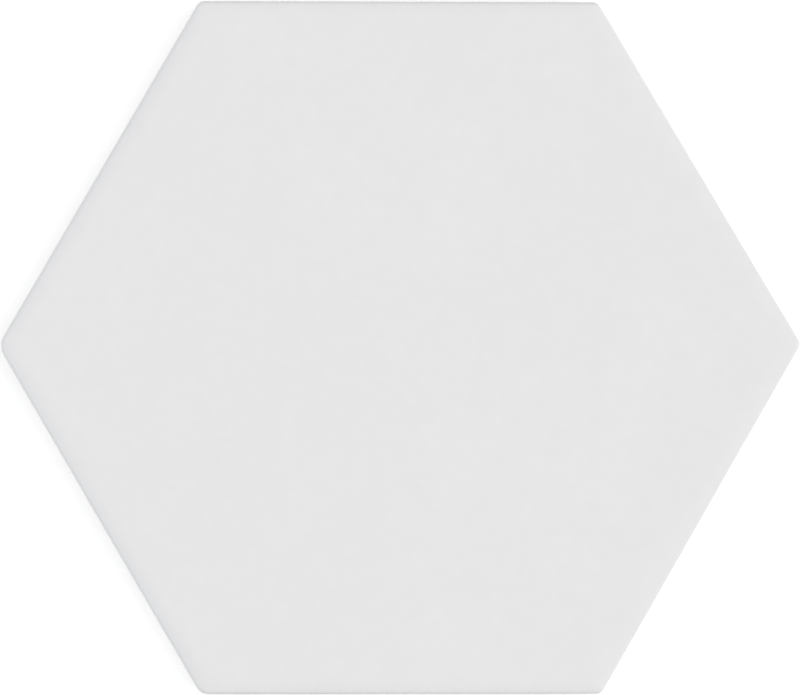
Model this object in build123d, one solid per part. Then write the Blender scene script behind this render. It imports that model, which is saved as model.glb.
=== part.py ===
from build123d import *
import math
import os

# A pressed porcelain tile in the shape of a regular hexagon, lying on its back.
# Millimetres. The origin is the middle of the plane that the back rests on.
# +Z points out of the face, +X at a corner and +Y at a straight side.

# Driving dimensions: the outline
across_flats = 101.0  # from one straight side to the opposite one
thickness = 9.0  # from the plane of the back ribs to the face
corner_radius = 1.6  # the upright corners, seen from above

# Driving dimensions: the edge of the face
crown_width = 2.6  # how far in from the side the face starts to fall away
crown_drop = 0.43  # how far it would fall by the side wall
arris_radius = 0.7  # rounds the crown over into the side wall

# Driving dimensions: the foot of the side walls
foot_bevel_run = 0.7  # inwards, along the back
foot_bevel_rise = 1.6  # upwards, along the side wall

# Driving dimensions: the keying relief pressed into the back
cell_pitch = 8.0  # from the middle of one cell to the middle of the next
rib_width = 1.8  # the land that is left between two cells
cell_depth = 0.6  # from the top of the ribs to the floor of a cell
cell_draft = 40.0  # slope of a cell's walls away from upright, in degrees
rim_width = 4.0  # the least plain land outside the outermost cells

# Worked out from the driving dimensions
SIDES = 6
SECTOR = 360 / SIDES  # degrees of the circle that one side takes up
LEVEL_NORMAL = 0.01  # an upright face's normal rises by less than this
apothem = across_flats / 2
side_length = across_flats * math.tan(math.radians(SECTOR / 2))
cell_width = cell_pitch - rib_width  # from flat to flat, at the cell's mouth
cell_reach = cell_width / math.sqrt(3)  # from the cell's middle to its corner
row_step = cell_pitch * math.sqrt(3) / 2  # from one row of cells to the next
tool_margin = 1.0  # how far a cutting shape stands clear of what it cuts


def one_side():
    """The plan of the sixth that carries the +Y side, with half a corner at each end."""
    hexagon = RegularPolygon(apothem, SIDES, major_radius=False)
    rounded = fillet(hexagon.vertices(), corner_radius)
    reach = 1 + tool_margin / apothem
    left = (-side_length / 2 * reach, apothem * reach)
    right = (side_length / 2 * reach, apothem * reach)
    wedge = make_face(Polyline((0, 0), left, right, close=True))
    return rounded & wedge


def outer_edges(sixth, end):
    """The lowest (end 0) or highest (end -1) edge of each wall that faces outwards."""
    upright = sixth.faces().filter_by(lambda face: abs(face.normal_at().Z) < LEVEL_NORMAL)
    walls = upright.filter_by(lambda face: not touches_middle(face))
    return [wall.edges().sort_by(Axis.Z)[end] for wall in walls]


def touches_middle(face):
    """True for the two mitre faces, which meet on the upright line through the middle."""
    return any(math.hypot(corner.X, corner.Y) < tool_margin for corner in face.vertices())


def crown_cutter():
    """What the die's edge takes off above the crown, as a bar along the side."""
    start = apothem - crown_width
    fall = (apothem, thickness - crown_drop)
    above = thickness + tool_margin
    outside = apothem + tool_margin
    crown = TangentArc((start, thickness), fall, tangent=(1, 0))
    box = Polyline(fall, (outside, fall[1]), (outside, above), (start, above), (start, thickness))
    section = Plane.YZ * make_face(crown + box)
    return extrude(section, side_length, both=True)


def tile_sixth():
    """One sixth of the tile, from the middle to its side, with no relief on the back."""
    blank = extrude(one_side(), thickness)
    foot = outer_edges(blank, 0)
    back = blank.faces().sort_by(Axis.Z)[0]
    blank = chamfer(foot, foot_bevel_run, foot_bevel_rise, reference=back)
    crowned = blank - crown_cutter()
    return fillet(outer_edges(crowned, -1), arris_radius)


def cell_places():
    """Middles of the cells: rings of a honeycomb that fills the tile up to its rim."""
    room = apothem - foot_bevel_run - rim_width - cell_reach
    rings = math.floor(room / row_step)
    places = []
    for row in range(-rings, rings + 1):
        cells_in_row = 2 * rings + 1 - abs(row)
        first = -(cells_in_row - 1) / 2 * cell_pitch
        places += [(first + n * cell_pitch, row * row_step) for n in range(cells_in_row)]
    return places


def cell_punch():
    """The pin that presses one cell: a hexagonal frustum, narrowest at the cell's floor."""
    height = cell_depth + tool_margin
    flare = tool_margin * math.tan(math.radians(cell_draft))
    turn = SECTOR / 2  # the cells have a flat side towards +X
    base = RegularPolygon(cell_width / 2 + flare, SIDES, major_radius=False, rotation=turn)
    return extrude(Pos(0, 0, -tool_margin) * base, height, taper=cell_draft)


def tile():
    """The whole tile: six mitred sixths fused, with the cells pressed into the back."""
    sixth = tile_sixth()
    body = Part() + [Rot(0, 0, SECTOR * n) * sixth for n in range(SIDES)]
    punch = cell_punch()
    return body - [Pos(x, y, 0) * punch for x, y in cell_places()]


os.makedirs("parts", exist_ok=True)
export_step(tile(), "parts/tile.step")
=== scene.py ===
import math

import bmesh
import bpy
from bpy.props import FloatProperty, FloatVectorProperty, PointerProperty
from mathutils import Matrix, Vector, noise
from mathutils.geometry import delaunay_2d_cdt


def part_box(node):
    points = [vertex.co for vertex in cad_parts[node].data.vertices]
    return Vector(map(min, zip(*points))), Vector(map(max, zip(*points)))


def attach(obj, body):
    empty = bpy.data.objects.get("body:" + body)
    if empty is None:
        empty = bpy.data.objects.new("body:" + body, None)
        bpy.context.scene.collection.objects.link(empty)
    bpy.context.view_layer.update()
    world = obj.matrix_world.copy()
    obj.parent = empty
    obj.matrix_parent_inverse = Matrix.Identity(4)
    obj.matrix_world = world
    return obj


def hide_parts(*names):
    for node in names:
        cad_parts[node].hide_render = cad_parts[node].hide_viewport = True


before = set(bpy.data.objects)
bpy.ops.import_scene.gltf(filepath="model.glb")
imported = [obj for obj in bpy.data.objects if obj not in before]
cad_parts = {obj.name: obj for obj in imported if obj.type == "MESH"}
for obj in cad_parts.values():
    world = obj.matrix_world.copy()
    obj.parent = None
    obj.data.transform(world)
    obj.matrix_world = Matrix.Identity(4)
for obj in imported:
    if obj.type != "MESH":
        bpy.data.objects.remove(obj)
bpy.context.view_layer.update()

bl_info = {
    "name": "Hexagonal porcelain tile",
    "version": (1, 0, 0),
    "blender": (4, 5, 0),
    "location": "View3D > Sidebar > Tile",
    "description": "Presses, glazes and lights one matt white hexagonal tile",
    "category": "Add Mesh",
}

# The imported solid, as the frame has it
CAD_NODE = "tile"
CAD_BODY = "root"
LOW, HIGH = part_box(CAD_NODE)

MM = 0.001
ORIGIN = Vector((0.0, 0.0))
SIDES = 6
SECTOR = math.tau / SIDES  # the angle from one corner to the next
SIDE_OVER_CORNER = math.cos(SECTOR / 2)  # a hexagon's reach to a side, over its reach to a corner

# How finely the mesh follows the form
FACE_GRID = 0.95 * MM
RIM_GRID = 1.4 * MM
GRID_GAP = 0.55  # the least gap from a ring to a grid point, in grid spacings
SIDE_STEPS = 96  # along a side, between two corners
CORNER_STEPS = 10  # round an upright corner
CROWN_STEPS = 14
ARRIS_STEPS = 12
FOOT_STEPS = 4  # round each turn of the foot bevel
RIB_STEPS = 3  # round each turn in the side of a rib
CELL_STEPS = 2  # along each side of a cell, and as many round each of its corners
WALL_STEP = 0.8 * MM  # up and down a plain wall
LINE_STEP = 0.22 * MM  # up and down, where the glaze ends
FACE_MARGIN = 0.4 * MM  # flat land between the crown and the grid of the face
BACK_MARGIN = 1.0 * MM  # flat land between the foot bevel and the grid of the back
CELL_HUB = 1.0 * MM  # from the middle of a cell's floor to the innermost ring round it
SAME_PLACE = 1e-7  # metres, up to which two vertices are one
STILL_TWO = 1e-9  # metres, from which two points of a flat are kept apart
WITHOUT_HOLES = 2  # asks for the triangles inside an outline, and none inside its holes

# Where the glaze ends on the walls
GLAZE_WAVES = ((0.12, 0.40), (0.43, 0.20))  # each: waves per millimetre, and their rise in millimetres
GLAZE_BAND = 1.1 * MM  # how far above and below its line the glaze may end
GLAZE_SLOPE = 0.3 * MM  # the height over which the glaze runs out
GLAZE_DEPTH = "glaze_depth"  # on each vertex: how far it lies above the line, in millimetres

# How firing warps the tile, in waves per millimetre
BROAD_SWELL = 0.045
BROAD_OCTAVES = (1.0, 2.0, 3)  # how fast they weaken, how much finer each is, and how many there are
FINE_SWELL = 0.35
FINE_SHARE = 0.25  # of the broad swell's height
SWELL_SINK = 0.35  # keeps the crests of the swells near the true height of the face
WALL_SWAY = 0.11
SWAY_START = Vector((7.0, 3.0, 5.0))  # keeps the sway of the walls apart from the swell

# Patterns in the glaze and in the bare body, in millimetres
GLAZE_FEATHER = 0.1  # half the width over which the glaze's edge fades
MIST_REACH = 2.6  # how far below the glaze's line fine drops lie
MIST_RARITY = (0.76, 0.5)  # noise above which there is a drop: as far down as that, and by the line
MIST_EDGE = 0.05  # noise over which a drop fades in
MIST_COVER = 0.6  # how far a drop covers the body
ARRIS_START = (0.2, 0.62)  # depths below the face over which the glaze thins
ARRIS_END = (0.6, 0.95)  # depths over which it thickens again
ARRIS_THINNESS = 0.55
SPECK_CORE = 0.5  # share of a speck's radius within which it is at full strength
FAINTEST_SPECK = 0.35
WASH_HEIGHTS = (0.06, 0.3)  # over which the kiln wash on the ribs thins out
WASH_PATCHES = (0.38, 0.62)  # noise over which it goes from none to full
WASH_COVER = 0.75
MARK_HEIGHTS = (0.3, 1.2)  # over which the press marks come in
MARK_STRETCH = (1.0, 1.0, 0.08)  # draws them out upwards

# Relief too fine for the mesh, in metres
RIPPLE_RISE = 0.0035 * MM
PINHOLE_DEPTH = 0.02 * MM
GRAIN_RISE = 0.022 * MM
MARK_RISE = 0.03 * MM
COVER_RISE = 0.02 * MM  # of the glaze, and of its drops, above the body

# The stage
WHITE = (1.0, 1.0, 1.0)
FLOOR_REACH = 6.0  # metres, from the middle to each side
FLOOR_GAP = 0.02 * MM  # keeps the floor out of the plane of the ribs
LAMPS = (  # name, first word of the names of its properties, azimuth and elevation in degrees
    ("overhead_lamp", "overhead", 0.0, 90.0),
    ("right_lamp", "right", 0.0, 24.0),
    ("left_lamp", "left", 180.0, 20.0),
)
LAMP_SPREAD = 50.0  # how wide each lamp is in the sky, in degrees
LAMP_DISTANCE = 0.5  # metres, to the lamp's mark: the light of a sun comes from endlessly far away
SENSOR_WIDTH = 36.0  # millimetres
SIGHT = (0.05, 20.0)  # the nearest and the farthest that the camera sees, in metres


def length(name, description, default):
    """A size in metres that a user may change."""
    return FloatProperty(
        name=name, description=description, default=default, min=0.0, precision=5, unit="LENGTH"
    )


def offset(name, description, default):
    """A distance in metres that may go either way."""
    return FloatProperty(name=name, description=description, default=default, precision=5, unit="LENGTH")


def per_corner(name, description, millimetres):
    """A distance for each corner, anticlockwise from the one at +X."""
    return FloatVectorProperty(
        name=name,
        description=description,
        default=[value * MM for value in millimetres],
        size=SIDES,
        precision=5,
        unit="LENGTH",
    )


def colour(name, description, default):
    """A colour that a user may change."""
    return FloatVectorProperty(
        name=name, description=description, default=default, size=3, min=0.0, max=1.0, subtype="COLOR"
    )


def share(name, description, default):
    """A plain factor from 0 to 1."""
    return FloatProperty(
        name=name, description=description, default=default, min=0.0, max=1.0, subtype="FACTOR"
    )


class TileShape(bpy.types.PropertyGroup):
    """The pressed and fired form"""

    across_flats: length("Across flats", "From one straight side to the opposite one", HIGH.y - LOW.y)
    thickness: length("Thickness", "From the ribs on the back to the face", HIGH.z - LOW.z)
    corner_radii: per_corner(
        "Corner radii",
        "How round each upright corner is, seen from above",
        (1.1, 1.1, 1.2, 2.7, 1.9, 1.3),
    )
    corner_drift_x: per_corner(
        "Corner drift in X",
        "How far firing has moved each corner to the right",
        (0.15, -0.32, 0.03, -0.17, 0.18, 0.21),
    )
    corner_drift_y: per_corner(
        "Corner drift in Y",
        "How far firing has moved each corner upwards",
        (0.44, -0.29, -0.13, 0.15, -0.15, -0.09),
    )
    crown_width: length("Crown width", "How far in from the side the face starts to fall away", 2.6 * MM)
    crown_drop: length("Crown drop", "How far the face would fall by the side wall", 0.43 * MM)
    arris_radius: length("Arris radius", "Rounds the crown over into the side wall", 0.7 * MM)
    foot_run: length("Foot bevel run", "How far the foot bevel cuts in along the back", 0.7 * MM)
    foot_rise: length("Foot bevel rise", "How far the foot bevel climbs the side wall", 1.6 * MM)
    foot_shoulder: length("Foot shoulder radius", "Rounds the side wall into the foot bevel", 0.8 * MM)
    foot_edge: length("Foot edge radius", "Rounds the foot bevel into the back", 0.25 * MM)
    undulation: length("Undulation", "How far the fired face swells and dips", 0.022 * MM)


class BackRelief(bpy.types.PropertyGroup):
    """The honeycomb pressed into the back"""

    cell_pitch: length("Cell pitch", "From the middle of one cell to the middle of the next", 8.0 * MM)
    rib_width: length("Rib width", "The land that is left between two cells", 1.8 * MM)
    cell_depth: length("Cell depth", "From the top of the ribs to the floor of a cell", 0.6 * MM)
    cell_draft: FloatProperty(
        name="Cell draft",
        description="Slope of a cell's walls away from upright",
        default=math.radians(40.0),
        subtype="ANGLE",
    )
    cell_corner: length("Cell corner radius", "Rounds the corners of each cell, seen from below", 0.8 * MM)
    rib_edge: length("Rib edge radius", "Rounds the edge of a rib and the foot of a cell's wall", 0.22 * MM)
    rim_width: length("Rim width", "The least plain land outside the outermost cells", 4.0 * MM)


class TileFinish(bpy.types.PropertyGroup):
    """Colours and finishes of the fired tile"""

    glaze: colour("Glaze", "The matt white glaze on the face", (0.806, 0.804, 0.808))
    thin_glaze: colour("Thin glaze", "The glaze where it thins over the arris", (0.78, 0.77, 0.77))
    body: colour("Body", "The bare porcelain on the side walls and the back", (0.72, 0.70, 0.665))
    kiln_wash: colour("Kiln wash", "The white powder that stays on the ribs", (0.82, 0.815, 0.80))
    speck: colour("Speck", "The tiny dark specks in the glaze and in the body", (0.36, 0.33, 0.30))
    mottling: share("Mottling", "How much lighter or darker the glaze gets from place to place", 0.011)
    glaze_specks: share("Glaze specks", "How strongly the specks show in the glaze", 0.1)
    body_specks: share("Body specks", "How strongly the specks show in the bare body", 0.5)
    glaze_roughness: share("Glaze roughness", "How matt the glaze is", 0.5)
    body_roughness: share("Body roughness", "How matt the bare porcelain is", 0.82)
    glaze_drop: length("Glaze drop", "How far below the face the glaze runs down the side walls", 2.4 * MM)
    glaze_thickness: length("Glaze thickness", "How far the glaze stands out from the bare wall", 0.07 * MM)


class StudioSetup(bpy.types.PropertyGroup):
    """The camera above the tile, and the light and the floor round it"""

    lens: FloatProperty(
        name="Lens", description="Focal length in millimetres", default=400.0, min=50.0, unit="CAMERA"
    )
    view_width: length("View width", "What the picture is wide, where the tile is widest", 116.6 * MM)
    widest_at: length("Widest at", "How far below the face the tile is widest", 0.9 * MM)
    view_x: offset("View in X", "How far right of the tile's middle the camera stands", 0.086 * MM)
    view_y: offset("View in Y", "How far up the picture from the middle it stands", -0.117 * MM)
    floor_colour: colour("Floor", "The pale floor", (0.8, 0.8, 0.8))
    floor_lift: share("Floor lift", "Glow that makes the floor show white to the camera", 0.23)
    overhead_share: share("Overhead light", "Share of the light from the soft lamp above", 0.322)
    overhead_tint: colour("Overhead tint", "Colour of the lamp above", (0.97, 1.0, 1.0))
    right_share: share("Right light", "Share of the light from the warm lamp on the right", 0.17)
    right_tint: colour("Right tint", "Colour of the lamp on the right", (1.0, 0.94, 0.935))
    left_share: share("Left light", "Share of the light from the cool lamp on the left", 0.081)
    left_tint: colour("Left tint", "Colour of the lamp on the left", (0.92, 0.94, 1.0))
    dome: share("Dome light", "Share of the light from all around", 0.38)


def settings():
    """The four groups of properties, as the scene has them now."""
    scene = bpy.context.scene
    return scene.tile_shape, scene.tile_relief, scene.tile_finish, scene.tile_studio


# Outlines, seen from above


def hexagon_points(centre, reach, first_angle):
    """The six corners of a regular hexagon, anticlockwise."""
    angles = [first_angle + index * SECTOR for index in range(SIDES)]
    return [centre + Vector((math.cos(angle), math.sin(angle))) * reach for angle in angles]


def tile_corners(shape):
    """The six sharp corners of the tile as fired, anticlockwise from the one at +X."""
    pressed = hexagon_points(ORIGIN, shape.across_flats / 2 / SIDE_OVER_CORNER, 0.0)
    drifts = zip(shape.corner_drift_x, shape.corner_drift_y)
    return [corner + Vector(drift) for corner, drift in zip(pressed, drifts)]


def cell_corners(relief, centre):
    """The corners of a cell with its share of the ribs. It has a flat side towards +X."""
    return hexagon_points(centre, relief.cell_pitch / 2 / SIDE_OVER_CORNER, SECTOR / 2)


def corner_arc(before, here, after, radius, inset, steps):
    """The arc that rounds one corner of an outline whose sides have moved in by inset."""
    arriving = (here - before).normalized()
    leaving = (after - here).normalized()
    turn = math.atan2(arriving.cross(leaving), arriving.dot(leaving))
    inward = Vector((-arriving.y, arriving.x))
    bisector = inward + Vector((-leaving.y, leaving.x))
    centre = here + bisector.normalized() * (inset + radius) / math.cos(turn / 2)
    return [centre - Matrix.Rotation(turn * step / steps, 2) @ inward * radius for step in range(steps + 1)]


def rounded_outline(corners, radii, inset, corner_steps, side_steps):
    """Points round an outline moved in by inset: an arc at each corner, then the side that follows it."""
    count = len(corners)
    arcs = [
        corner_arc(corners[i - 1], corners[i], corners[(i + 1) % count], radii[i], inset, corner_steps)
        for i in range(count)
    ]
    points = []
    for i, arc in enumerate(arcs):
        start, end = arc[-1], arcs[(i + 1) % count][0]
        points += arc
        points += [start.lerp(end, step / side_steps) for step in range(1, side_steps)]
    return points


def inside_by(point, corners):
    """How far a point lies inside the nearest side of a convex, anticlockwise outline."""
    depths = []
    for start, end in zip(corners, corners[1:] + corners[:1]):
        along = (end - start).normalized()
        depths.append(along.cross(point - start))
    return min(depths)


# Sections, whose points are (inwards from the side, up)


def bow(centre, radius, start, end, steps):
    """An arc whose angles count from straight up, outwards."""
    angles = [start + (end - start) * step / steps for step in range(steps + 1)]
    return [centre + Vector((-math.sin(angle), math.cos(angle))) * radius for angle in angles]


def rounded_section(turns, steps):
    """The line through some turns (inwards, up, radius), with an arc in place of each inner one."""
    points = [Vector(turns[0][:2])]
    for before, here, after in zip(turns, turns[1:], turns[2:]):
        corner = Vector(here[:2])
        back = (Vector(before[:2]) - corner).normalized()
        on = (Vector(after[:2]) - corner).normalized()
        half = back.angle(on) / 2
        centre = corner + (back + on).normalized() * here[2] / math.sin(half)
        spoke = corner + back * here[2] / math.tan(half) - centre
        sweep = math.atan2(spoke.cross(on), spoke.dot(on))
        turn = math.copysign(math.pi - 2 * half, sweep)
        points += [centre + Matrix.Rotation(turn * step / steps, 2) @ spoke for step in range(steps + 1)]
    points.append(Vector(turns[-1][:2]))
    return points


def divided(points, longest):
    """The same points, with more between any two that lie further apart than longest."""
    result = [points[0]]
    for start, end in zip(points, points[1:]):
        parts = math.ceil((end - start).length / longest)
        result += [start.lerp(end, part / parts) for part in range(1, parts + 1)]
    return result


def crown_and_arris(shape):
    """From the flat of the face out over the crown, and round the arris to the top of the wall."""
    crown_radius = (shape.crown_width**2 + shape.crown_drop**2) / (2 * shape.crown_drop)
    crown_centre = Vector((shape.crown_width, shape.thickness - crown_radius))
    arris_inset = shape.crown_width - shape.arris_radius
    arris_angle = math.asin(arris_inset / (crown_radius - shape.arris_radius))
    arris_rise = (crown_radius - shape.arris_radius) * math.cos(arris_angle)
    arris_centre = Vector((shape.arris_radius, crown_centre.y + arris_rise))
    crown = bow(crown_centre, crown_radius, 0.0, arris_angle, CROWN_STEPS)
    arris = bow(arris_centre, shape.arris_radius, arris_angle, math.pi / 2, ARRIS_STEPS)
    return crown + arris[1:]


def wall_and_foot(shape, top, glaze_line):
    """From below the top of the wall down to the foot bevel, round it and in along the back."""
    band_top = Vector((0.0, min(glaze_line + GLAZE_BAND, top.y)))
    band_foot = Vector((0.0, glaze_line - GLAZE_BAND))
    turns = [
        (0.0, band_foot.y, 0.0),
        (0.0, shape.foot_rise, shape.foot_shoulder),
        (shape.foot_run, 0.0, shape.foot_edge),
        (shape.foot_run + BACK_MARGIN, 0.0, 0.0),
    ]
    points = divided([top, band_top], WALL_STEP)[1:]
    points += divided([band_top, band_foot], LINE_STEP)[1:]
    points += divided(rounded_section(turns, FOOT_STEPS), WALL_STEP)[1:]
    return points


def edge_section(shape, glaze_line):
    """From the flat of the face over the crown and the arris, down the wall and round the foot."""
    face_edge = Vector((shape.crown_width + FACE_MARGIN, shape.thickness))
    rolled = crown_and_arris(shape)
    return [face_edge] + rolled + wall_and_foot(shape, rolled[-1], glaze_line)


def cell_section(relief):
    """From the land of a rib up its side, and in along the floor of a cell."""
    mouth = relief.rib_width / 2
    foot = mouth + relief.cell_depth * math.tan(relief.cell_draft)
    turns = [
        (mouth / 2, 0.0, 0.0),
        (mouth, 0.0, relief.rib_edge),
        (foot, relief.cell_depth, relief.rib_edge),
        (relief.cell_pitch / 2 - CELL_HUB, relief.cell_depth, 0.0),
    ]
    return rounded_section(turns, RIB_STEPS)


# Mesh making


def add_ring(bm, outline, height):
    """One closed ring of vertices at a height."""
    return [bm.verts.new((point.x, point.y, height)) for point in outline]


def bridge(bm, upper, lower):
    """Quads between two rings of as many vertices, facing away from the ring's inside."""
    for i in range(len(upper)):
        bm.faces.new((upper[i - 1], lower[i - 1], lower[i], upper[i]))


def grid_inside(corners, spacing, margin):
    """Points of an even triangular grid that lie more than a margin inside an outline."""
    left, right = min(corner.x for corner in corners), max(corner.x for corner in corners)
    foot, head = min(corner.y for corner in corners), max(corner.y for corner in corners)
    row_step = spacing * math.sqrt(3) / 2
    points = [
        Vector((left + (column + row % 2 / 2) * spacing, foot + row * row_step))
        for row in range(math.ceil((head - foot) / row_step))
        for column in range(math.ceil((right - left) / spacing))
    ]
    return [point for point in points if inside_by(point, corners) > margin]


def fill(bm, rings, grid, height, upwards):
    """Triangles inside the first ring and outside any other, through the grid's points."""
    known = [vert for ring in rings for vert in ring]
    points = [Vector(vert.co.xy) for vert in known] + list(grid)
    edges, first = [], 0
    for ring in rings:
        edges += [(first + i, first + (i + 1) % len(ring)) for i in range(len(ring))]
        first += len(ring)
    outer = list(range(len(rings[0])))
    filled = delaunay_2d_cdt(points, edges, [outer], WITHOUT_HOLES, STILL_TWO)
    found, _, faces, origins, _, _ = filled
    verts = []
    for place, sources in zip(found, origins):
        source = min(sources)
        verts.append(known[source] if source < len(known) else bm.verts.new((place.x, place.y, height)))
    for face in faces:
        order = face if upwards else reversed(face)
        bm.faces.new([verts[i] for i in order])


def press_walls(bm, shape, glaze_line):
    """The crown, the side walls and the foot, as rings. Gives the face's ring and the back's ring."""
    corners = tile_corners(shape)
    rings = []
    for inset, height in edge_section(shape, glaze_line):
        outline = rounded_outline(corners, shape.corner_radii, inset, CORNER_STEPS, SIDE_STEPS)
        rings.append(add_ring(bm, outline, height))
    for upper, lower in zip(rings, rings[1:]):
        bridge(bm, upper, lower)
    return rings[0], rings[-1]


def press_face(bm, shape, ring):
    """The flat of the face, inside the crown."""
    edge = shape.crown_width + FACE_MARGIN + GRID_GAP * FACE_GRID
    grid = grid_inside(tile_corners(shape), FACE_GRID, edge)
    fill(bm, [ring], grid, shape.thickness, upwards=True)


def cell_rows(shape, relief):
    """Middles of the cells, row by row: a honeycomb of whole rings that fills the back up to its rim."""
    reach = (relief.cell_pitch - relief.rib_width) / math.sqrt(3)
    row_step = relief.cell_pitch * math.sqrt(3) / 2
    room = shape.across_flats / 2 - shape.foot_run - relief.rim_width - reach
    rings = math.floor(room / row_step)
    rows = []
    for row in range(-rings, rings + 1):
        cells = 2 * rings + 1 - abs(row)
        first = -(cells - 1) / 2 * relief.cell_pitch
        rows.append([Vector((first + n * relief.cell_pitch, row * row_step)) for n in range(cells)])
    return rows


def onto_border(relief, centre, point):
    """The point pushed straight out from a cell's centre, onto its border with its neighbours."""
    out = point - centre
    reach = max(out.dot(side) for side in hexagon_points(ORIGIN, 1.0, 0.0))
    return centre + out * (relief.cell_pitch / 2 / reach)


def press_cell(bm, relief, centre):
    """One cell of the back with its share of the ribs round it."""
    corners = cell_corners(relief, centre)
    radii = [relief.cell_corner] * SIDES
    rings = []
    for inset, height in cell_section(relief):
        rings.append(add_ring(bm, rounded_outline(corners, radii, inset, CELL_STEPS, CELL_STEPS), height))
    crest = [onto_border(relief, centre, Vector(vert.co.xy)) for vert in rings[0]]
    rings.insert(0, add_ring(bm, crest, 0.0))
    for outer, inner in zip(rings, rings[1:]):
        bridge(bm, outer, inner)
    middle = bm.verts.new((centre.x, centre.y, relief.cell_depth))
    floor = rings[-1]
    for i in range(len(floor)):
        bm.faces.new((floor[i], floor[i - 1], middle))


def border_loop(start):
    """The vertices round the open border that a vertex lies on, in order from that one."""
    edge = next(edge for edge in start.link_edges if edge.is_boundary)
    loop = [start]
    while edge.other_vert(loop[-1]) != start:
        loop.append(edge.other_vert(loop[-1]))
        edge = next(other for other in loop[-1].link_edges if other.is_boundary and other != edge)
    return loop


def press_honeycomb(bm, relief, rows):
    """All the cells, joined along their borders. Gives the vertices round the outside, in order."""
    before = set(bm.verts)
    for row in rows:
        for centre in row:
            press_cell(bm, relief, centre)
    pressed = [vert for vert in bm.verts if vert not in before]
    bmesh.ops.remove_doubles(bm, verts=pressed, dist=SAME_PLACE)
    return border_loop(next(vert for vert in bm.verts if vert not in before and vert.is_boundary))


def press_back(bm, shape, relief, ring):
    """The honeycomb, and the plain rim that joins it to the foot."""
    rows = cell_rows(shape, relief)
    border = press_honeycomb(bm, relief, rows)
    outermost = rows[0] + rows[-1] + [centre for row in rows[1:-1] for centre in (row[0], row[-1])]
    rim_cells = [cell_corners(relief, centre) for centre in outermost]
    corners = tile_corners(shape)
    gap = GRID_GAP * RIM_GRID
    rim_start = shape.foot_run + BACK_MARGIN + gap
    rim_end = inside_by(ORIGIN, corners) - rows[-1][0].y  # as far in as the middles of its cells
    grid = [
        point
        for point in grid_inside(corners, RIM_GRID, rim_start)
        if inside_by(point, corners) < rim_end
        and all(inside_by(point, cell) < -gap for cell in rim_cells)
    ]
    fill(bm, [ring, border], grid, 0.0, upwards=False)


def eased(value, low, high):
    """0 up to low, 1 from high on, and a soft step in between."""
    part = max(0.0, min(1.0, (value - low) / (high - low)))
    return part * part * (3.0 - 2.0 * part)


def glaze(bm, shape, finish, glaze_line):
    """Lays the glaze on: it stands out from the bare wall, down to a line that wavers round the tile."""
    depth = bm.verts.layers.float.new(GLAZE_DEPTH)
    for vert in bm.verts:
        plan = Vector((vert.co.x, vert.co.y, 0.0)) / MM
        waver = sum(rise * noise.noise(plan * wave) for wave, rise in GLAZE_WAVES) * MM
        above = vert.co.z - glaze_line - waver
        vert[depth] = above / MM
        bare = 1.0 - eased(above, -GLAZE_SLOPE / 2, GLAZE_SLOPE / 2)
        outward = plan.normalized() * min(1.0, vert.co.z / shape.foot_rise)
        vert.co -= outward * finish.glaze_thickness * bare


def fire(bm, shape):
    """What firing does: the face swells and dips a little, and the walls are not quite true."""
    for vert in bm.verts:
        place = vert.co / MM
        upper = eased(vert.co.z, shape.foot_rise, shape.thickness)
        swell = noise.fractal(place * BROAD_SWELL, *BROAD_OCTAVES)
        swell += FINE_SHARE * noise.noise(place * FINE_SWELL)
        vert.co.z += shape.undulation * upper * (swell - SWELL_SINK)
        outward = Vector((vert.co.x, vert.co.y, 0.0)).normalized()
        sway = noise.noise(place * WALL_SWAY + SWAY_START)
        vert.co += outward * shape.undulation * sway * min(1.0, vert.co.z / shape.foot_rise)


def tile_mesh(shape, relief, finish):
    """The whole tile as one closed mesh."""
    bm = bmesh.new()
    glaze_line = shape.thickness - finish.glaze_drop
    face_ring, back_ring = press_walls(bm, shape, glaze_line)
    press_face(bm, shape, face_ring)
    press_back(bm, shape, relief, back_ring)
    glaze(bm, shape, finish, glaze_line)
    fire(bm, shape)
    mesh = bpy.data.meshes.new("pressed_tile")
    bm.to_mesh(mesh)
    bm.free()
    mesh.shade_smooth()
    return mesh


# Materials, whose patterns are measured in millimetres


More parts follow.
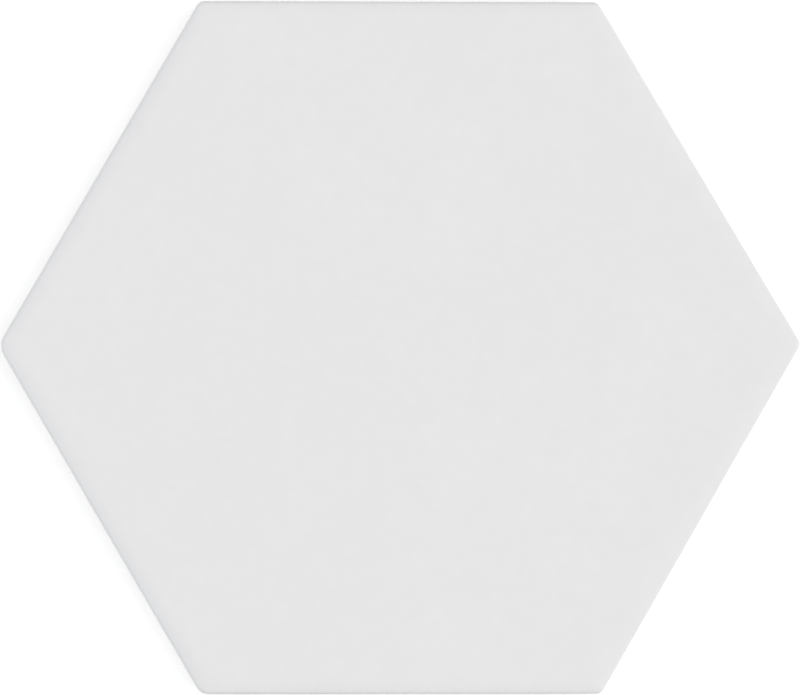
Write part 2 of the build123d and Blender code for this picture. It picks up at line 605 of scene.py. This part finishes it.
class Nodes:
    """Places and joins the nodes of one material or world."""

    def __init__(self, owner):
        owner.use_nodes = True
        self.tree = owner.node_tree
        self.tree.nodes.clear()

    def add(self, kind, inputs=(), out=0, **options):
        """Adds a node, sets it up and gives one of its outputs."""
        node = self.tree.nodes.new(kind)
        for name, value in options.items():
            setattr(node, name, value)
        for name, value in dict(inputs).items():
            if isinstance(value, bpy.types.NodeSocket):
                self.tree.links.new(value, node.inputs[name])
            else:
                node.inputs[name].default_value = value
        return node.outputs[out] if len(node.outputs) else None

    def maths(self, operation, first, second):
        """A sum with two numbers."""
        return self.add("ShaderNodeMath", {0: first, 1: second}, operation=operation)

    def times(self, first, *others):
        """The product of some numbers."""
        for other in others:
            first = self.maths("MULTIPLY", first, other)
        return first

    def between(self, value, low, high, start=0.0, end=1.0, smooth=True):
        """start where the value is at low, end where it is at high, and eased in between."""
        kind = "SMOOTHSTEP" if smooth else "LINEAR"
        inputs = {"Value": value, "From Min": low, "From Max": high, "To Min": start, "To Max": end}
        return self.add("ShaderNodeMapRange", inputs, interpolation_type=kind)

    def clouds(self, place, size, detail=2.0, roughness=0.5):
        """Soft noise from about 0 to 1, whose patches are about size wide."""
        inputs = {"Vector": place, "Scale": 1.0 / size, "Detail": detail, "Roughness": roughness}
        return self.add("ShaderNodeTexNoise", inputs)

    def around(self, middle, pattern, spread, amount):
        """middle give or take amount, as some clouds wander by spread about their own middle of 0.5."""
        low, high = 0.5 - spread, 0.5 + spread
        return self.between(pattern, low, high, middle - amount, middle + amount, smooth=False)

    def scaled(self, vector, factor):
        """A vector or a colour times a number."""
        return self.add("ShaderNodeVectorMath", {0: vector, "Scale": factor}, operation="SCALE")

    def mix(self, factor, first, second):
        """One colour into another."""
        inputs = {0: factor, 6: first, 7: second}
        return self.add("ShaderNodeMix", inputs, out=2, data_type="RGBA")


def opaque(rgb):
    """A colour with full alpha, as a colour socket takes it."""
    return (*rgb, 1.0)


def specks(nodes, place, cell, chance, least, most):
    """Balls of least to most radius, one in some cells of a grid: up to 1 in a ball, 0 outside."""
    inputs = {"Vector": place, "Scale": 1.0 / cell, "Randomness": 1.0}
    distance = nodes.add("ShaderNodeTexVoronoi", inputs, voronoi_dimensions="3D")
    colours = distance.node.outputs["Color"]
    lots = nodes.add("ShaderNodeSeparateColor", {"Color": colours}).node.outputs
    radius = nodes.between(lots["Green"], 0.0, 1.0, least / cell, most / cell, smooth=False)
    spot = nodes.between(distance, radius, nodes.times(radius, SPECK_CORE))
    drawn = nodes.maths("LESS_THAN", lots["Red"], chance)
    strength = nodes.between(lots["Blue"], 0.0, 1.0, FAINTEST_SPECK, 1.0, smooth=False)
    return nodes.times(spot, drawn, strength)


def glaze_cover(nodes, place):
    """Where the glaze is: down to its frayed edge, and the same with the mist of drops below."""
    depth = nodes.add("ShaderNodeAttribute", out="Fac", attribute_name=GLAZE_DEPTH)
    fray = nodes.around(0.0, nodes.clouds(place, size=0.8, detail=3.0), spread=0.2, amount=0.14)
    glazed = nodes.between(nodes.maths("ADD", depth, fray), -GLAZE_FEATHER, GLAZE_FEATHER)
    rarity = nodes.between(depth, -MIST_REACH, GLAZE_FEATHER, *MIST_RARITY, smooth=False)
    mist = nodes.between(nodes.clouds(place, size=0.4), rarity, nodes.maths("ADD", rarity, MIST_EDGE))
    return glazed, nodes.maths("MAXIMUM", glazed, nodes.times(mist, MIST_COVER))


def glaze_colour(nodes, place, height, top, finish):
    """Matt white with faint drifts, curds and specks, thinner over the arris."""
    thickening = nodes.between(height, top - ARRIS_END[1], top - ARRIS_END[0])
    thinning = nodes.between(height, top - ARRIS_START[1], top - ARRIS_START[0], start=1.0, end=0.0)
    thin = nodes.times(thickening, thinning, ARRIS_THINNESS)
    white = nodes.mix(thin, opaque(finish.glaze), opaque(finish.thin_glaze))
    broad = nodes.clouds(place, size=22.0, detail=5.0, roughness=0.6)
    drifts = nodes.around(1.0, broad, spread=0.25, amount=finish.mottling)
    fine = nodes.clouds(place, size=1.9, roughness=0.45)
    curds = nodes.around(1.0, fine, spread=0.3, amount=finish.mottling)
    white = nodes.scaled(white, nodes.times(drifts, curds))
    dots = specks(nodes, place, cell=1.5, chance=0.2, least=0.08, most=0.17)
    return nodes.mix(nodes.times(dots, finish.glaze_specks), white, opaque(finish.speck))


def body_colour(nodes, place, height, finish):
    """Bare porcelain, cloudy and gritty, with kiln wash on the ribs."""
    broad = nodes.clouds(place, size=9.0, detail=4.0, roughness=0.6)
    cloudy = nodes.around(0.995, broad, spread=0.25, amount=0.04)
    fine = nodes.clouds(place, size=0.35, roughness=0.7)
    grain = nodes.around(1.0, fine, spread=0.3, amount=0.05)
    bare = nodes.scaled(tuple(finish.body), nodes.times(cloudy, grain))
    grit = specks(nodes, place, cell=0.9, chance=0.16, least=0.05, most=0.13)
    bare = nodes.mix(nodes.times(grit, finish.body_specks), bare, opaque(finish.speck))
    on_ribs = nodes.between(height, *WASH_HEIGHTS, start=1.0, end=0.0)
    patches = nodes.between(nodes.clouds(place, size=3.0, detail=5.0, roughness=0.7), *WASH_PATCHES)
    return nodes.mix(nodes.times(on_ribs, patches, WASH_COVER), bare, opaque(finish.kiln_wash))


def fine_relief(nodes, place, height, glazed, covered):
    """Ripple and pinholes in the glaze, grain and upright press marks in the body, as one bump."""
    ripple = nodes.times(nodes.clouds(place, size=1.4), RIPPLE_RISE)
    pinholes = specks(nodes, place, cell=1.3, chance=0.2, least=0.06, most=0.13)
    skin = nodes.maths("ADD", ripple, nodes.times(pinholes, -PINHOLE_DEPTH))
    grain = nodes.times(nodes.clouds(place, size=0.28, detail=3.0, roughness=0.7), GRAIN_RISE)
    drawn_out = nodes.add("ShaderNodeVectorMath", {0: place, 1: MARK_STRETCH}, operation="MULTIPLY")
    marks = nodes.times(nodes.clouds(drawn_out, size=0.5, roughness=0.6), MARK_RISE)
    rough = nodes.maths("ADD", grain, nodes.times(marks, nodes.between(height, *MARK_HEIGHTS)))
    rise = nodes.add("ShaderNodeMix", {0: glazed, 2: rough, 3: skin}, data_type="FLOAT")
    rise = nodes.maths("ADD", rise, nodes.times(covered, COVER_RISE))
    return nodes.add("ShaderNodeBump", {"Strength": 1.0, "Distance": 1.0, "Height": rise})


def porcelain(shape, finish):
    """The fired tile: matt glaze down to a wavering line on the walls, bare body below and behind."""
    material = bpy.data.materials.new("Porcelain, glazed and bare")
    nodes = Nodes(material)
    place = nodes.scaled(nodes.add("ShaderNodeTexCoord", out="Object"), 1.0 / MM)
    height = nodes.add("ShaderNodeSeparateXYZ", {0: place}, out="Z")
    glazed, covered = glaze_cover(nodes, place)
    white = glaze_colour(nodes, place, height, shape.thickness / MM, finish)
    bare = body_colour(nodes, place, height, finish)
    matt = nodes.between(covered, 0.0, 1.0, finish.body_roughness, finish.glaze_roughness, smooth=False)
    broad = nodes.clouds(place, size=6.0, detail=4.0, roughness=0.6)
    sheen = nodes.around(0.0, broad, spread=0.25, amount=0.05)
    inputs = {
        "Base Color": nodes.mix(covered, bare, white),
        "Roughness": nodes.maths("ADD", matt, sheen),
        "Normal": fine_relief(nodes, place, height, glazed, covered),
    }
    surface = nodes.add("ShaderNodeBsdfPrincipled", inputs)
    nodes.add("ShaderNodeOutputMaterial", {"Surface": surface})
    return material


def shown(nodes):
    """1 where the camera looks, straight or by a reflection, and 0 for the light that lights things."""
    paths = nodes.add("ShaderNodeLightPath").node.outputs
    seen = nodes.maths("MAXIMUM", paths["Is Camera Ray"], paths["Is Glossy Ray"])
    return nodes.maths("MAXIMUM", seen, paths["Is Transmission Ray"])


def pale_floor(studio):
    """A pale floor that shows white and keeps the tile's shadow."""
    material = bpy.data.materials.new("Pale floor")
    nodes = Nodes(material)
    plain = nodes.add("ShaderNodeBsdfDiffuse", {"Color": opaque(studio.floor_colour)})
    bright = nodes.add("ShaderNodeBsdfDiffuse", {"Color": opaque(WHITE)})
    lift = nodes.add("ShaderNodeEmission", {"Color": opaque(WHITE), "Strength": studio.floor_lift})
    lifted = nodes.add("ShaderNodeAddShader", {0: bright, 1: lift})
    surface = nodes.add("ShaderNodeMixShader", {0: shown(nodes), 1: plain, 2: lifted})
    nodes.add("ShaderNodeOutputMaterial", {"Surface": surface})
    return material


# Stage


def add_object(name, data):
    """An object of that name in the scene."""
    made = bpy.data.objects.new(name, data)
    bpy.context.scene.collection.objects.link(made)
    return made


def add_floor(studio):
    """A wide level plane, just under the ribs that the tile rests on."""
    bm = bmesh.new()
    bmesh.ops.create_grid(bm, x_segments=1, y_segments=1, size=FLOOR_REACH)
    mesh = bpy.data.meshes.new("floor")
    bm.to_mesh(mesh)
    bm.free()
    mesh.materials.append(pale_floor(studio))
    floor = add_object("floor", mesh)
    floor.location.z = -FLOOR_GAP
    return floor


def add_sun(name, light_share, tint, azimuth, elevation):
    """A soft lamp whose light on the level face is a share of a plain white level."""
    lamp = bpy.data.lights.new(name, "SUN")
    rise = math.sin(math.radians(elevation))
    flat = math.cos(math.radians(elevation))
    turn = math.radians(azimuth)
    lamp.energy = light_share * math.pi / rise
    lamp.color = tint
    lamp.angle = math.radians(LAMP_SPREAD)
    made = add_object(name, lamp)
    source = Vector((math.cos(turn) * flat, math.sin(turn) * flat, rise))
    made.rotation_mode = "QUATERNION"
    made.rotation_quaternion = source.to_track_quat("Z", "Y")
    made.location = source * LAMP_DISTANCE


def set_world(studio):
    """A dim white dome for light, which shows as a white background."""
    world = bpy.data.worlds.new("Studio")
    bpy.context.scene.world = world
    nodes = Nodes(world)
    strength = nodes.between(shown(nodes), 0.0, 1.0, studio.dome, 1.0, smooth=False)
    back = nodes.add("ShaderNodeBackground", {"Color": opaque(WHITE), "Strength": strength})
    nodes.add("ShaderNodeOutputWorld", {"Surface": back})


def set_camera(studio, shape):
    """Looks straight down on the tile, with a picture about as wide as the tile is."""
    lens = bpy.data.cameras.new("Camera")
    lens.lens = studio.lens
    lens.sensor_width = SENSOR_WIDTH
    lens.clip_start, lens.clip_end = SIGHT
    distance = studio.view_width * studio.lens / SENSOR_WIDTH
    camera = add_object("Camera", lens)
    camera.location = (studio.view_x, studio.view_y, shape.thickness - studio.widest_at + distance)
    bpy.context.scene.camera = camera


# Steps and panel


class TILE_OT_press(bpy.types.Operator):
    """Press, glaze and fire the tile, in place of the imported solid"""

    bl_idname = "tile.press"
    bl_label = "Press the tile"

    def execute(self, context):
        shape, relief, finish, _ = settings()
        mesh = tile_mesh(shape, relief, finish)
        mesh.materials.append(porcelain(shape, finish))
        tile = add_object("pressed_tile", mesh)
        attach(tile, CAD_BODY)
        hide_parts(CAD_NODE)
        return {"FINISHED"}


class TILE_OT_stage(bpy.types.Operator):
    """Lay the floor, set the lamps and place the camera"""

    bl_idname = "tile.stage"
    bl_label = "Set the stage"

    def execute(self, context):
        shape, _, _, studio = settings()
        floor = add_floor(studio)
        for name, side, azimuth, elevation in LAMPS:
            light_share = getattr(studio, side + "_share")
            tint = getattr(studio, side + "_tint")
            add_sun(name, light_share, tint, azimuth, elevation)
        set_world(studio)
        set_camera(studio, shape)
        context.scene.view_settings.view_transform = "Standard"
        return {"FINISHED"}


class TILE_PT_panel(bpy.types.Panel):
    """Sizes, finishes and steps of the tile"""

    bl_idname = "TILE_PT_panel"
    bl_label = "Porcelain tile"
    bl_space_type = "VIEW_3D"
    bl_region_type = "UI"
    bl_category = "Tile"

    def draw(self, context):
        for group in settings():
            box = self.layout.box()
            for name in group.__annotations__:
                box.prop(group, name)
        self.layout.operator(TILE_OT_press.bl_idname)
        self.layout.operator(TILE_OT_stage.bl_idname)


GROUPS = {
    "tile_shape": TileShape,
    "tile_relief": BackRelief,
    "tile_finish": TileFinish,
    "tile_studio": StudioSetup,
}
CLASSES = (*GROUPS.values(), TILE_OT_press, TILE_OT_stage, TILE_PT_panel)


def register():
    """Registers the classes and gives each scene its groups of properties."""
    for each in CLASSES:
        bpy.utils.register_class(each)
    for name, group in GROUPS.items():
        setattr(bpy.types.Scene, name, PointerProperty(type=group))


def unregister():
    """Takes back what register made."""
    for name in GROUPS:
        delattr(bpy.types.Scene, name)
    for each in reversed(CLASSES):
        bpy.utils.unregister_class(each)


def main():
    """Sets the stage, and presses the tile."""
    register()
    bpy.ops.tile.stage()
    bpy.ops.tile.press()


if __name__ == "__main__":
    main()
